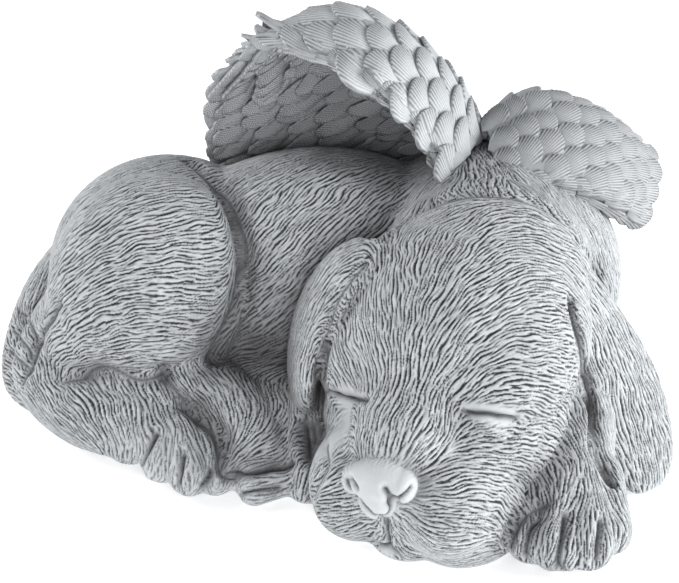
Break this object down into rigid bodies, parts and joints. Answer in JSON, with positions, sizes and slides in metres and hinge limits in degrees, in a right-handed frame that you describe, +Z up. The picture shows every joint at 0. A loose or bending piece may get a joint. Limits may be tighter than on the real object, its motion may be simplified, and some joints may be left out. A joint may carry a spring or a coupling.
{
  "type": "pet memorial statue",
  "caption": "Puppy asleep on its fore paw with two feathered angel wings, cast in one piece with a flat underside.",
  "frame": {"origin": "middle of the overall box, on the ground that the statue stands on", "axes": "+Z up; the face looks towards -Y; the tail lies at -X and the far wing and free ear at +X"},
  "size_m": [0.225, 0.1576, 0.1407],
  "materials": {
    "cast_stone": "matte"
  },
  "bodies": {
    "root": {"sleeping_puppy": "cast_stone"}
  },
  "joints": []
}
